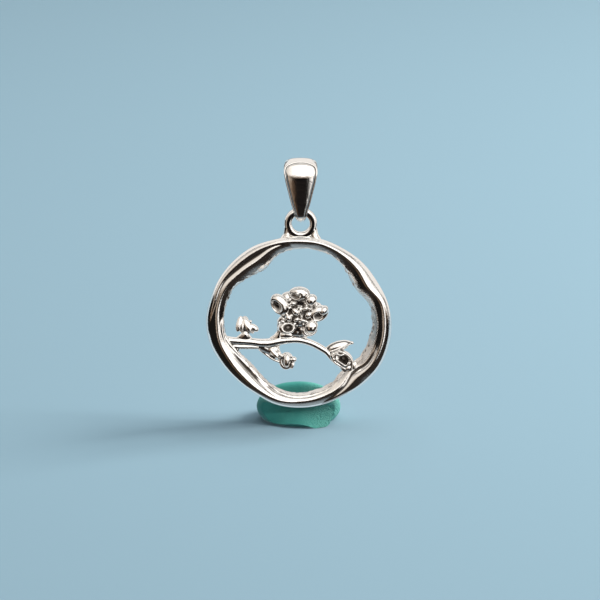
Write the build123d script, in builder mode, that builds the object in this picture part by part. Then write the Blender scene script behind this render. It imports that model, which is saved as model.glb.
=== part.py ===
from build123d import *
from math import cos, pi, radians, sin, sqrt
import os

os.makedirs("parts", exist_ok=True)

# A round cast silver pendant: an uneven hoop crossed by a flowering branch, an eye on top,
# and a tapered bail that swings on the eye. A lump of putty holds it upright.
# Millimetres. X runs across the hoop, Y from front to back, Z up from the surface it stands on.

# Hoop
hoop_radius = 11.1
band_width = 2.3
band_depth = 2.2
band_chamfer = 0.15
seat_height = 1.85

# Eye, a ring soldered on the hoop's top
eye_radius = 1.56
eye_wire = 0.42
eye_shift = 0.2
eye_leg = 1.2
eye_foot = 0.62

# Bail, a folded band closed round the eye
bail_width = 4.1
bail_height = 8.1
bail_depth = 3.6
bail_wall = 0.55
bail_clearance = 0.5
bail_crown = 0.25

# Branch with what grows on it
branch_radius = 0.5
blossom_radius = 3.2
stamen_bead = 0.3
bud_length = 2.3
ball_bud_radius = 0.95
leaf_length = 3.1
hollow_radius = 0.5
twig_length = 2.45

# Putty
putty_width = 10.4
putty_depth = 8.4
putty_top = 4.5
putty_middle = 1.6
putty_setback = 1.3
putty_clearance = 0.06

# Each row is a section of the hoop. angle is in degrees from +X towards +Z. outer is the outer
# radius as a share of hoop_radius, and width the band's width as a share of band_width. fold is
# the place across the band, 0 at the inner edge and 1 at the outer, where its two rounded
# strands meet. The last three are heights over the back as shares of band_depth: the inner
# strand, the line where the strands meet, and the outer strand.
HOOP_SECTIONS = (
    # angle, outer, width, fold, inner, meet, strand
    (0, 1.011, 1.00, 0.55, 0.80, 1.00, 0.84),
    (15, 0.995, 1.00, 0.60, 0.78, 1.00, 0.86),
    (30, 0.964, 1.17, 0.60, 0.74, 0.98, 0.86),
    (45, 0.965, 1.03, 0.55, 0.76, 0.98, 0.86),
    (60, 0.965, 0.72, 0.50, 0.80, 0.98, 0.84),
    (75, 0.976, 0.67, 0.48, 0.82, 0.98, 0.82),
    (90, 0.977, 0.70, 0.48, 0.82, 0.98, 0.82),
    (105, 0.977, 0.87, 0.48, 0.82, 0.94, 0.84),
    (120, 0.992, 1.39, 0.50, 0.82, 0.78, 0.92),
    (135, 0.995, 1.26, 0.50, 0.82, 0.76, 0.94),
    (150, 1.000, 0.94, 0.46, 0.78, 0.84, 0.92),
    (165, 1.005, 0.89, 0.42, 0.76, 0.92, 0.88),
    (180, 1.018, 0.97, 0.40, 0.74, 0.94, 0.86),
    (195, 1.008, 1.00, 0.38, 0.72, 0.92, 0.88),
    (210, 0.975, 1.17, 0.32, 0.70, 0.76, 0.96),
    (225, 0.950, 1.14, 0.30, 0.70, 0.72, 0.98),
    (240, 0.943, 0.94, 0.32, 0.72, 0.76, 0.96),
    (255, 0.967, 0.79, 0.38, 0.76, 0.88, 0.90),
    (270, 0.974, 0.72, 0.46, 0.80, 0.96, 0.84),
    (285, 0.977, 0.85, 0.56, 0.82, 0.94, 0.80),
    (300, 0.967, 0.93, 0.58, 0.92, 0.80, 0.80),
    (315, 0.999, 1.30, 0.46, 0.86, 0.80, 0.94),
    (330, 1.018, 1.11, 0.44, 0.78, 0.92, 0.92),
    (345, 1.017, 1.06, 0.50, 0.78, 0.98, 0.86),
)
SPANS = 2
SECTIONS_IN_SPAN = 24
WALL_SHARE = 0.55
LOWEST_ROW = 18
TOP_ROW = 6

# The branch's line. across and up are shares of hoop_radius from the hoop's centre, and thick
# is the branch's radius as a share of branch_radius.
BRANCH_ROUTE = (
    # across, up, thick
    (-0.840, -0.216, 1.45),
    (-0.750, -0.222, 1.26),
    (-0.590, -0.226, 1.20),
    (-0.370, -0.240, 1.00),
    (-0.205, -0.222, 0.86),
    (-0.050, -0.213, 0.86),
    (0.090, -0.232, 0.80),
    (0.220, -0.300, 0.74),
    (0.310, -0.362, 0.72),
    (0.385, -0.455, 0.78),
    (0.460, -0.530, 0.74),
    (0.580, -0.590, 0.86),
)

# Petals round the blossom's centre, as shares of blossom_radius. turn is the petal's long axis
# in degrees from +X towards +Z, and lean its slope out of the hoop's plane towards the front.
# length and breadth are half sizes. cup is the radius of the hollow in its face, 0 for none.
PETALS = (
    # across, up, forward, turn, lean, length, breadth, cup
    (-0.680, 0.370, 0.16, 70, 0.2, 0.440, 0.330, 0.22),
    (0.035, 0.700, 0.12, 4, 0.0, 0.430, 0.300, 0.18),
    (0.520, 0.460, 0.20, 60, 0.0, 0.230, 0.190, 0.00),
    (0.780, -0.060, 0.14, 10, 0.2, 0.370, 0.310, 0.20),
    (0.420, -0.640, 0.16, 70, 0.2, 0.370, 0.270, 0.18),
    (-0.430, -0.660, 0.16, 10, 0.2, 0.350, 0.290, 0.22),
    (-0.340, -0.170, 0.24, 80, 0.0, 0.270, 0.190, 0.00),
)
STAMENS = (
    # across, up, forward
    (-0.19, 0.32, 0.27),
    (-0.07, 0.02, 0.29),
    (0.32, -0.10, 0.28),
    (-0.06, -0.28, 0.28),
    (0.20, -0.30, 0.27),
    (-0.30, 0.16, 0.27),
    (0.24, 0.18, 0.28),
    (0.04, 0.52, 0.24),
    (-0.52, -0.34, 0.24),
)

EYE_STEPS = 6
EYE_SPLAY = 0.33
LOBE_PLACES = (-0.97, -0.75, -0.4, 0.0, 0.4, 0.75, 0.97)
BLOSSOM_ACROSS = -0.011
BLOSSOM_BASE = 0.96

HUB_SECTIONS = (
    # forward, radius
    (-0.16, 0.34),
    (-0.10, 0.60),
    (0.06, 0.74),
    (0.18, 0.66),
    (0.30, 0.40),
)

# Lobes of the buds as shares of their bud's size, laid out from the branch, with the columns
# of the petals. The hollow is a place in the half-open bud.
HALF_OPEN_BUD = (
    # across, up, forward, turn, lean, length, breadth
    (0.62, -0.02, 0.10, 45, 0.1, 0.42, 0.30),
    (0.96, -0.10, 0.08, 100, 0.1, 0.36, 0.20),
    (0.70, -0.38, 0.10, 150, 0.1, 0.42, 0.20),
    (0.36, -0.20, 0.06, 120, 0.0, 0.40, 0.18),
)
HALF_OPEN_HOLLOW = (0.68, -0.30, -0.10)
UPPER_BUD = (
    # across, up, forward, turn, lean, length, breadth
    (-0.26, 0.92, 0.06, 84, 0.0, 0.46, 0.20),
    (0.12, 0.82, 0.10, 96, 0.1, 0.44, 0.27),
    (0.47, 0.70, 0.04, 10, 0.0, 0.30, 0.22),
    (0.02, 0.40, 0.00, 80, 0.0, 0.36, 0.32),
)
BALL_BUD = (
    # across, up, forward, turn, lean, length, breadth
    (-0.12, 0.02, 0.00, 90, 0.0, 1.10, 0.78),
    (0.58, 0.18, 0.10, 90, 0.0, 0.40, 0.36),
    (0.45, -0.30, 0.00, 120, 0.0, 0.66, 0.38),
)
LEAF = (
    # along, up, forward, half thickness
    (0.00, 0.00, 0.00, 0.100),
    (0.18, 0.18, 0.02, 0.150),
    (0.40, 0.27, 0.04, 0.155),
    (0.62, 0.31, 0.04, 0.120),
    (0.85, 0.34, 0.02, 0.090),
    (0.95, 0.33, 0.00, 0.095),
)
TWIG_TAPER = (1.3, 1.15, 0.6)
BAIL_OUTLINE = (
    # half width, up from the foot
    (0.100, 0.00),
    (0.150, 0.06),
    (0.195, 0.18),
    (0.295, 0.34),
    (0.370, 0.50),
    (0.450, 0.66),
    (0.500, 0.83),
    (0.470, 0.94),
    (0.370, 1.00),
)
STALK_ROW = 5
STALK_TAPER = (0.34, 0.22)
HALF_OPEN_ROW = 8
UPPER_BUD_ROW = 2
TWIG_ROW = 3
TWIG_TURN = -49
BALL_BUD_TURN = -12
BALL_BUD_SEAT = 0.85
LEAF_ROW = 8

hoop_z = seat_height + HOOP_SECTIONS[LOWEST_ROW][1] * hoop_radius
back_y = band_depth / 2
top_z = hoop_z + HOOP_SECTIONS[TOP_ROW][1] * hoop_radius


def hoop_row(angle):
    """Blends the table's rows round an angle, in a smooth curve through all of them."""
    count = len(HOOP_SECTIONS)
    place = (angle % 360) * count / 360
    t = place - int(place)
    weights = (
        (-t + 2 * t**2 - t**3) / 2,
        (2 - 5 * t**2 + 3 * t**3) / 2,
        (t + 4 * t**2 - 3 * t**3) / 2,
        (-(t**2) + t**3) / 2,
    )
    rows = [HOOP_SECTIONS[(int(place) + step) % count][1:] for step in (-1, 0, 1, 2)]
    return [sum(w * value for w, value in zip(weights, column)) for column in zip(*rows)]


def rim_point(angle, stand_off=0.0):
    """The hoop's outer edge at an angle, moved outwards by stand_off, about the hoop's centre."""
    radius = hoop_row(angle)[0] * hoop_radius + stand_off
    return radius * cos(radians(angle)), radius * sin(radians(angle))


def hoop_span(first, last):
    """Lofts the band from one angle to another."""
    with BuildPart() as span:
        for step in range(SECTIONS_IN_SPAN + 1):
            angle = first + (last - first) * step / SECTIONS_IN_SPAN
            outer, width, fold, inner, meet, strand = hoop_row(angle)
            across = Vector(cos(radians(angle)), 0, sin(radians(angle)))
            along = Vector(-sin(radians(angle)), 0, cos(radians(angle)))
            rim = outer * hoop_radius
            edge = rim - width * band_width
            meet_at = edge + fold * (rim - edge)
            wall = back_y - WALL_SHARE * band_depth
            with BuildSketch(Plane(origin=(0, 0, hoop_z), x_dir=across, z_dir=along)):
                with BuildLine():
                    inner_mid = ((edge + meet_at) / 2, back_y - inner * band_depth)
                    outer_mid = ((rim + meet_at) / 2, back_y - strand * band_depth)
                    fold_point = (meet_at, back_y - meet * band_depth)
                    ThreePointArc((edge, wall), inner_mid, fold_point)
                    ThreePointArc(fold_point, outer_mid, (rim, wall))
                    Polyline(
                        (rim, wall),
                        (rim, back_y - band_chamfer),
                        (rim - band_chamfer, back_y),
                        (edge + band_chamfer, back_y),
                        (edge, back_y - band_chamfer),
                        (edge, wall),
                    )
                make_face()
        loft(ruled=True)
    return span.part


def rod(points, radii):
    """Lofts circles square to the line through the points."""
    with BuildPart() as made:
        for index, (point, radius) in enumerate(zip(points, radii)):
            before = points[max(index - 1, 0)]
            after = points[min(index + 1, len(points) - 1)]
            with BuildSketch(Plane(origin=point, z_dir=after - before)):
                Circle(radius)
        loft()
    return made.part


def lobe(centre, axis, half_length, half_breadth):
    """Lofts circles along an axis into an egg shape."""
    points = [centre + axis * half_length * place for place in LOBE_PLACES]
    return rod(points, [half_breadth * sqrt(1 - place**2) for place in LOBE_PLACES])


def ball(centre, radius):
    with BuildPart() as made:
        with Locations(centre):
            Sphere(radius)
    return made.part


# Hoop
with BuildPart() as hoop:
    for span_number in range(SPANS):
        add(hoop_span(360 * span_number / SPANS, 360 * (span_number + 1) / SPANS))

# Eye: a wire arch whose legs flare into feet sunk in the hoop's top
eye_z = top_z + eye_leg + eye_wire
arch_turns = [pi * step / EYE_STEPS for step in range(EYE_STEPS + 1)]
arch = [
    Vector(eye_shift - eye_radius * cos(turn), 0, eye_z + eye_radius * sin(turn))
    for turn in arch_turns
]
shanks = [Vector(end.X, 0, eye_z - eye_leg) for end in (arch[0], arch[-1])]
soles = [
    Vector(eye_shift + side * (eye_radius + EYE_SPLAY * eye_foot), 0, eye_z - eye_leg - eye_foot)
    for side in (-1, 1)
]
eye_points = [soles[0], shanks[0], *arch, shanks[1], soles[1]]
eye = rod(eye_points, [eye_foot, *[eye_wire] * (len(eye_points) - 2), eye_foot])


def branch_at(row):
    """The branch's centre at one of its table rows."""
    across, up, thick = BRANCH_ROUTE[row]
    return Vector(across * hoop_radius, 0, hoop_z + up * hoop_radius)


def in_plane(degrees, forward=0.0):
    """A direction from +X towards +Z, leaning to the front."""
    return Vector(cos(radians(degrees)), -forward, sin(radians(degrees))).normalized()


def grown(origin, size, rows):
    """Lobes set out from a point, each row's lengths being shares of one size."""
    return [
        lobe(
            origin + size * Vector(across, -forward, up),
            in_plane(turn, lean),
            length * size,
            breadth * size,
        )
        for across, up, forward, turn, lean, length, breadth in rows
    ]


# Branch
branch = rod(
    [branch_at(row) for row in range(len(BRANCH_ROUTE))],
    [thick * branch_radius for across, up, thick in BRANCH_ROUTE],
)

# Blossom: a hub over the branch, petals with hollow faces round it, and stamens in the middle
front = Vector(0, -1, 0)
branch_top = branch_at(STALK_ROW).Z + BRANCH_ROUTE[STALK_ROW][2] * branch_radius
blossom_centre = Vector(BLOSSOM_ACROSS * hoop_radius, 0, branch_top + BLOSSOM_BASE * blossom_radius)
petals = grown(blossom_centre, blossom_radius, [row[:-1] for row in PETALS])
hollows = [
    ball(
        blossom_centre + blossom_radius * Vector(across, -forward - breadth, up),
        cup * blossom_radius,
    )
    for across, up, forward, turn, lean, length, breadth, cup in PETALS
    if cup
]
hub = rod(
    [blossom_centre + front * forward * blossom_radius for forward, radius in HUB_SECTIONS],
    [radius * blossom_radius for forward, radius in HUB_SECTIONS],
)
stalk = rod(
    [blossom_centre, branch_at(STALK_ROW)], [share * blossom_radius for share in STALK_TAPER]
)
stamens = [
    ball(blossom_centre + blossom_radius * Vector(across, -forward, up), stamen_bead)
    for across, up, forward in STAMENS
]

# Buds, the twig with its ball bud, and the leaf
half_open_bud = grown(branch_at(HALF_OPEN_ROW), bud_length, HALF_OPEN_BUD)
half_open_hollow = ball(
    branch_at(HALF_OPEN_ROW) + bud_length * Vector(*HALF_OPEN_HOLLOW), hollow_radius
)
upper_bud = grown(branch_at(UPPER_BUD_ROW), bud_length, UPPER_BUD)
twig_root = branch_at(TWIG_ROW)
twig_tip = twig_root + twig_length * in_plane(TWIG_TURN)
twig = rod(
    [twig_root, (twig_root + twig_tip) / 2, twig_tip],
    [share * branch_radius for share in TWIG_TAPER],
)
ball_bud_centre = twig_tip + BALL_BUD_SEAT * ball_bud_radius * in_plane(BALL_BUD_TURN)
ball_bud = grown(ball_bud_centre, ball_bud_radius, BALL_BUD)
leaf_root = branch_at(LEAF_ROW)
leaf_line = [leaf_root + leaf_length * Vector(along, -forward, up) for along, up, forward, half in LEAF]
leaf = rod(leaf_line, [half * leaf_length for along, up, forward, half in LEAF])

with BuildPart() as blossom_hoop:
    add(hoop)
    add([eye, branch, hub, stalk, twig, leaf])
    add(petals + half_open_bud + upper_bud + ball_bud)
    add(hollows + [half_open_hollow], mode=Mode.SUBTRACT)
    add(stamens)

# Bail: a band folded into a drop-shaped loop, cut to a leaf outline from the front and to
# crowned faces from above
pivot_z = eye_z + eye_radius
bend_inside = eye_wire + bail_clearance
bend_outside = bend_inside + bail_wall
bail_foot = pivot_z - bend_outside
crown_outside = bail_depth / 2
crown_z = bail_foot + bail_height - crown_outside


def drop(bend, crown):
    """The loop's side outline: a small bend below, a large one above, and straight sides."""
    spread = crown_z - pivot_z
    lean = (crown - bend) / spread
    rise = sqrt(1 - lean**2)
    with BuildSketch(Plane(origin=(eye_shift, 0, 0), x_dir=(0, 1, 0), z_dir=(1, 0, 0))) as made:
        with BuildLine():
            low = (bend * rise, pivot_z - bend * lean)
            high = (crown * rise, crown_z - crown * lean)
            ThreePointArc((-low[0], low[1]), (0, pivot_z - bend), low)
            Line(low, high)
            ThreePointArc(high, (0, crown_z + crown), (-high[0], high[1]))
            Line((-high[0], high[1]), (-low[0], low[1]))
        make_face()
    return made.sketch


with BuildPart() as bail:
    extrude(drop(bend_outside, crown_outside), amount=bail_width / 2, both=True)
    extrude(
        drop(bend_inside, crown_outside - bail_wall),
        amount=bail_width,
        both=True,
        mode=Mode.SUBTRACT,
    )
    with BuildSketch(Plane(origin=(eye_shift, 0, bail_foot), x_dir=(1, 0, 0), z_dir=(0, -1, 0))):
        with BuildLine():
            right = [(half * bail_width, up * bail_height) for half, up in BAIL_OUTLINE]
            left = [(-half, up) for half, up in reversed(right)]
            Spline(*right)
            Line(right[-1], left[0])
            Spline(*left)
            Line(left[-1], right[0])
        make_face()
    extrude(amount=bail_depth, both=True, mode=Mode.INTERSECT)
    with BuildSketch(Plane(origin=(eye_shift, 0, bail_foot), x_dir=(1, 0, 0), z_dir=(0, 0, 1))):
        with BuildLine():
            side = bail_width / 2
            middle = bail_depth / 2
            edge = middle - bail_crown
            ThreePointArc((-side, -edge), (0, -middle), (side, -edge))
            Line((side, -edge), (side, edge))
            ThreePointArc((side, edge), (0, middle), (-side, edge))
            Line((-side, edge), (-side, -edge))
        make_face()
    extrude(amount=bail_height, mode=Mode.INTERSECT)

# Putty: a rounded lump with a flat foot, and a bed pressed into it by the hoop
putty_rise = putty_top - putty_middle
with BuildPart() as putty_stand:
    with Locations((0, putty_setback, putty_middle)):
        Sphere(putty_width / 2)
    scale(
        by=(1, putty_depth / putty_width, putty_rise / (putty_width / 2)),
        about=Vector(0, putty_setback, putty_middle),
    )
    split(bisect_by=Plane.XY, keep=Keep.TOP)
    bed = Plane(origin=(0, back_y + putty_clearance, hoop_z), x_dir=(1, 0, 0), z_dir=(0, -1, 0))
    with BuildSketch(bed):
        with BuildLine():
            sections = SPANS * SECTIONS_IN_SPAN
            rim = [rim_point(360 * number / sections, putty_clearance) for number in range(sections)]
            Polyline(*rim, close=True)
        make_face()
    extrude(amount=putty_depth, mode=Mode.SUBTRACT)

blossom_hoop.part.label = "blossom_hoop"
bail.part.label = "bail"
putty_stand.part.label = "putty_stand"
export_step(blossom_hoop.part, "parts/blossom_hoop.step")
export_step(bail.part, "parts/bail.step")
export_step(putty_stand.part, "parts/putty_stand.step")
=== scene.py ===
"""A flower pendant of polished cast silver, held upright by a lump of teal putty.

The CAD solids are the frame. Each piece is worked out again here as surfaces in two parameters,
so that its ridges, hollows and rough edges catch the light as the real casting does. Lengths
are millimetres up to the moment a mesh is made, +Z is up and the front faces -Y.
"""

import bpy
import numpy as np
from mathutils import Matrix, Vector


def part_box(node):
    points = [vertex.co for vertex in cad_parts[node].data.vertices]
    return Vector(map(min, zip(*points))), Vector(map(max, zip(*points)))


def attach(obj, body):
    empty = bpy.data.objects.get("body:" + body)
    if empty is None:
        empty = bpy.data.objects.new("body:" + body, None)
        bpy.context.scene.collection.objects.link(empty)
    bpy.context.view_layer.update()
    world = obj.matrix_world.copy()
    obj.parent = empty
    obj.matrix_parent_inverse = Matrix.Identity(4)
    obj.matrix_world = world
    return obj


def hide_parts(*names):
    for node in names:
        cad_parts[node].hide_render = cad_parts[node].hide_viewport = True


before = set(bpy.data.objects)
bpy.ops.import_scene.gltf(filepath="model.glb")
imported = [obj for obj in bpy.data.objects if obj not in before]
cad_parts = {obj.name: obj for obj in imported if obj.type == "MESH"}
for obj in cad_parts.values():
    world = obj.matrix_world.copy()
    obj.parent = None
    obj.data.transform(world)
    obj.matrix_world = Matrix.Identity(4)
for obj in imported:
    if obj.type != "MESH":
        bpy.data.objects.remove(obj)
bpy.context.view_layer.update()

# The hoop is the body of the pendant: one silver casting that looks like three soft strands laid
# side by side, which part, cross and join again. Its front is polished, its back is flat, and
# its inner edge is left rough from the mould.
mm = 0.001
hoop_low, hoop_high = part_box("blossom_hoop")
HOOP_RADIUS = 11.1
BAND_WIDTH = 2.3
BAND_DEPTH = 2.2
LOWEST_FRONT = 0.16 * BAND_DEPTH
OUTER_AT_FOOT = 0.974
BACK_Y = hoop_high[1] / mm
HOOP_Z = hoop_low[2] / mm + OUTER_AT_FOOT * HOOP_RADIUS
HOOP_STEPS = 840
FRONT_STEPS = 63
WALL_STEPS = 16
BACK_STEPS = 25
EDGE_SMOOTHINGS = 4
# A strand's crest is rounded over CREST_SOFTNESS, and its sides fall with a lean and a bend.
CREST_SOFTNESS = 0.12
STRAND_LEAN = 0.42
STRAND_BEND = 0.26
STEEPER_LEAN = 0.06
STEEPER_BEND = 0.10
# At both edges the front is rounded over within a corner, and drops into the side wall, further
# on the outer left. The outer wall leans in all the way to the back, the inner one near it only.
OUTER_CORNER = 0.30
OUTER_DROP = 0.45
LEFT_DROP = 0.38
LEFT_AT = 196
LEFT_REACH = 42
INNER_CORNER = 0.24
INNER_DROP = 0.30
OUTER_LEAN = 0.50
INNER_LEAN = 0.30
INNER_LEAN_FROM = 0.45
# A chased line runs all round at RIM_LINE_IN from the rim.
RIM_LINE_IN = 0.24
RIM_LINE_HALF = 0.045
RIM_LINE_DEEP = 0.055
# On the right, about SLOPE_AT, the inner side falls away more steeply.
SLOPE_AT = 338
SLOPE_REACH = 30
SLOPE_WIDE = 0.66
SLOPE_STEEPER = 0.55
# The inner edge is rough over ROUGH_WIDE, and the whole front wavers a little.
ROUGH_WIDE = 0.30
GRAIN_OUT = 0.18
CRUMBS_OUT = 0.15
CRUMBS_UP = 0.09
WAVES_UP = 0.030
RIPPLES_UP = 0.006
WAVES_FULL_AT = 0.5
# The skin from the mould is left on the right's inner side, most of all about SKIN_MOST_AT, and
# along the rough edge.
SKIN_AT = 2
SKIN_REACH = 38
SKIN_WIDE = 0.66
SKIN_LEAST = 0.55
SKIN_MOST_AT = 330
SKIN_MOST_REACH = 20
EDGE_SKIN_WIDE = 0.20
EDGE_SKIN = 0.6
CHASED = (
    # angle, reach in degrees, distance from the inner edge, half width, depth
    (236, 24, 0.72, 0.060, 0.150),  # parts two strands at the lower left
    (236, 24, 0.24, 0.050, 0.150),  # parts the innermost one
    (222, 2.2, 0.30, 0.150, -0.130),  # knot, raised
    (230.5, 1.8, 0.30, 0.150, -0.104),  # knot, raised
    (328, 15, 0.96, 0.150, 0.330),  # crease at the lower right
    (273, 17, 0.34, 0.060, 0.120),  # line over the foot
)
# outer is the band's outer radius as a share of HOOP_RADIUS, and width a share of BAND_WIDTH.
# Each strand has its crest's place across the band, 0 at the inner edge and 1 at the outer, and
# its height as a share of BAND_DEPTH. A low strand lies hidden under its neighbours.
HOOP_ROWS = (
    # angle, outer, width, rim crest, height, mid crest, height, inner crest, height, rough
    (0, 1.011, 1.00, 0.62, 1.00, 0.20, 0.30, 0.10, 0.30, 0.9),
    (15, 0.995, 1.00, 0.68, 0.99, 0.28, 0.40, 0.10, 0.30, 0.9),
    (30, 0.968, 1.17, 0.56, 0.98, 0.30, 0.50, 0.08, 0.40, 1.0),
    (45, 0.972, 1.03, 0.63, 0.98, 0.35, 0.55, 0.10, 0.30, 0.8),
    (60, 0.974, 0.72, 0.65, 0.98, 0.45, 0.70, 0.10, 0.20, 0.5),
    (75, 0.986, 0.67, 0.69, 0.98, 0.52, 0.80, 0.10, 0.20, 0.4),
    (90, 0.988, 0.70, 0.68, 0.98, 0.58, 0.90, 0.10, 0.20, 0.4),
    (105, 0.987, 0.87, 0.80, 0.95, 0.58, 0.95, 0.10, 0.20, 0.6),
    (120, 1.001, 1.39, 0.82, 0.93, 0.50, 0.97, 0.06, 0.40, 1.0),
    (135, 1.002, 1.26, 0.80, 0.92, 0.46, 0.98, 0.06, 0.40, 1.0),
    (150, 1.004, 0.94, 0.80, 0.90, 0.45, 0.98, 0.06, 0.55, 0.9),
    (165, 1.005, 0.89, 0.74, 0.92, 0.46, 0.97, 0.10, 0.64, 0.8),
    (180, 1.018, 0.97, 0.72, 0.76, 0.38, 0.97, 0.16, 0.90, 0.4),
    (195, 1.008, 1.00, 0.74, 0.62, 0.40, 0.98, 0.16, 0.88, 0.3),
    (210, 0.975, 1.17, 0.80, 0.30, 0.52, 0.99, 0.15, 0.755, 0.5),
    (225, 0.950, 1.14, 0.85, 0.20, 0.58, 1.00, 0.15, 0.70, 0.6),
    (240, 0.943, 0.94, 0.85, 0.20, 0.62, 1.00, 0.14, 0.72, 0.6),
    (255, 0.967, 0.79, 0.80, 0.30, 0.55, 0.98, 0.12, 0.68, 0.35),
    (270, 0.974, 0.77, 0.78, 0.48, 0.44, 0.97, 0.10, 0.50, 0.25),
    (285, 0.977, 0.85, 0.76, 0.78, 0.40, 0.95, 0.10, 0.40, 0.4),
    (300, 0.967, 0.93, 0.74, 0.90, 0.40, 0.93, 0.10, 0.30, 0.9),
    (315, 0.999, 1.30, 0.58, 0.97, 0.28, 0.82, 0.06, 0.40, 0.6),
    (330, 1.018, 1.11, 0.57, 0.99, 0.16, 0.62, 0.06, 0.40, 0.6),
    (345, 1.017, 1.06, 0.60, 1.00, 0.12, 0.45, 0.08, 0.40, 0.8),
)


def smooth_rows(rows, angles):
    """Carries a smooth closed curve through the rows: between two rows each value follows the
    cubic whose slope at a row is half the step between that row's neighbours."""
    values = np.array(rows)[:, 1:]
    place = (angles % 360) / 360 * len(values)
    low = np.floor(place).astype(int)
    t = (place - low)[:, None]
    a, b, c, d = (values[(low + step) % len(values)] for step in (-1, 0, 1, 2))
    bend = t**2 * (a - 2.5 * b + 2 * c - d / 2) + t**3 * (1.5 * (b - c) + (d - a) / 2)
    return b + t * (c - a) / 2 + bend


def strand(across, width, crest, height, uphill):
    """A strand's front over the band's back. From a softened crest it falls with the distance x
    to each side as lean times x plus bend times x squared. The side that faces up is steeper:
    uphill is 1 where the outer side faces up and -1 where the inner side does."""
    x = (across - crest) * width
    soft = np.sqrt(x**2 + CREST_SOFTNESS**2) - CREST_SOFTNESS
    facing_up = np.where(x < 0, -uphill, uphill)
    lean = STRAND_LEAN + STEEPER_LEAN * facing_up
    bend = STRAND_BEND + STEEPER_BEND * facing_up
    return height * BAND_DEPTH - lean * soft - bend * x**2


def corner(distance, reach, drop):
    """The quarter ellipse that rounds the front over into the side wall."""
    inwards = 1 - np.clip(distance / reach, 0, 1)
    return drop * (1 - np.sqrt(1 - inwards**2))


def bell(distance, reach, power=2):
    """1 at no distance, and little beyond the reach: e to the minus power of their ratio."""
    return np.exp(-(np.abs(distance / reach) ** power))


def turned_from(angle):
    """The degrees from an angle round to each of the hoop's steps, from -180 to 180."""
    return (hoop_angles[:, None] - angle + 180) % 360 - 180


def rolling_noise(rows, columns, row_size, column_size, seed):
    """Smooth noise on a closed grid, from -1 to 1: random values filtered by a bell of the given
    sizes in grid steps, through the Fourier transform."""
    values = np.random.default_rng(seed).standard_normal((rows, columns))
    row_waves = np.fft.fftfreq(rows)[:, None] * row_size
    column_waves = np.fft.fftfreq(columns)[None, :] * column_size
    passed = np.exp(-2 * np.pi**2 * (row_waves**2 + column_waves**2))
    smooth = np.fft.ifft2(np.fft.fft2(values) * passed).real
    return smooth / np.abs(smooth).max()


def grid_faces(rows, columns, close_rows=True, close_columns=True):
    """The quads of a grid of points, wrapped round where it closes."""
    i = np.arange(rows if close_rows else rows - 1)[:, None]
    j = np.arange(columns if close_columns else columns - 1)[None, :]
    next_row, next_column = (i + 1) % rows, (j + 1) % columns
    corners = (i * columns + j, next_row * columns + j, next_row * columns + next_column)
    return np.stack(
        np.broadcast_arrays(*corners, i * columns + next_column), axis=-1
    ).reshape(-1, 4)


def make_piece(name, points, faces):
    """A smooth-shaded mesh object in metres from an array of points in millimetres."""
    mesh = bpy.data.meshes.new(name)
    mesh.from_pydata((points.reshape(-1, 3) * mm).tolist(), [], faces.tolist())
    mesh.validate()
    mesh.shade_smooth()
    piece = bpy.data.objects.new(name, mesh)
    bpy.context.scene.collection.objects.link(piece)
    return piece


hoop_angles = np.arange(HOOP_STEPS) * 360 / HOOP_STEPS
turn = np.radians(hoop_angles)[:, None]
hoop_rows = smooth_rows(HOOP_ROWS, hoop_angles).T[:, :, None]
outer, width, rim_crest, rim_high, mid_crest, mid_high, low_crest, low_high, rough = hoop_rows
rim = outer * HOOP_RADIUS
band = width * BAND_WIDTH
edge = rim - band
across = (0.5 - 0.5 * np.cos(np.linspace(0, np.pi, FRONT_STEPS)))[None, :]
from_inner = band * across
from_outer = band * (1 - across)
strands = ((rim_crest, rim_high), (mid_crest, mid_high), (low_crest, low_high))
front = np.maximum.reduce([strand(across, band, crest, high, np.sin(turn)) for crest, high in strands])
outer_drop = OUTER_DROP + LEFT_DROP * bell(turned_from(LEFT_AT), LEFT_REACH, power=4)
front = front - corner(from_outer, OUTER_CORNER, outer_drop)
front = front - corner(from_inner, INNER_CORNER, INNER_DROP)
front = np.maximum(front, LOWEST_FRONT)
front = front - RIM_LINE_DEEP * bell(from_outer - RIM_LINE_IN, RIM_LINE_HALF)
steeper = SLOPE_STEEPER * bell(turned_from(SLOPE_AT), SLOPE_REACH, power=4)
front = front - steeper * np.clip(SLOPE_WIDE - from_inner, 0, 1)
for angle, reach, place, half, depth in CHASED:
    front = front - depth * bell(turned_from(angle), reach) * bell(from_inner - place, half)
wall = np.linspace(0, 1, WALL_STEPS)[1:-1][None, :]
back = np.linspace(0, 1, BACK_STEPS)[None, :]
lean_share = np.clip((wall[:, ::-1] - INNER_LEAN_FROM) / (1 - INNER_LEAN_FROM), 0, 1)
outer_wall = (rim - OUTER_LEAN * wall, front[:, -1:] * (1 - wall))
back_face = (rim - OUTER_LEAN - (band - OUTER_LEAN - INNER_LEAN) * back, 0 * rim + 0 * back)
inner_wall = (edge + INNER_LEAN * lean_share, front[:, :1] * wall)
radius, depth = (
    np.hstack(parts) for parts in zip((edge + from_inner, front), outer_wall, back_face, inner_wall)
)
for _ in range(EDGE_SMOOTHINGS):
    radius = (np.roll(radius, 1, 1) + 2 * radius + np.roll(radius, -1, 1)) / 4
    depth = (np.roll(depth, 1, 1) + 2 * depth + np.roll(depth, -1, 1)) / 4
near_inner = rough * bell(radius - edge, ROUGH_WIDE)
grain = rolling_noise(*radius.shape, 2.0, 1.8, seed=11)
crumbs = rolling_noise(*radius.shape, 4.5, 3.0, seed=23)
radius = radius + near_inner * (GRAIN_OUT * grain + CRUMBS_OUT * crumbs)
waves = rolling_noise(*radius.shape, 15, 8, seed=5)
ripples = rolling_noise(*radius.shape, 5, 4, seed=41)
in_front = np.clip(depth / WAVES_FULL_AT, 0, 1)
depth = depth + (WAVES_UP * waves + RIPPLES_UP * ripples + CRUMBS_UP * near_inner * crumbs) * in_front
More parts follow.
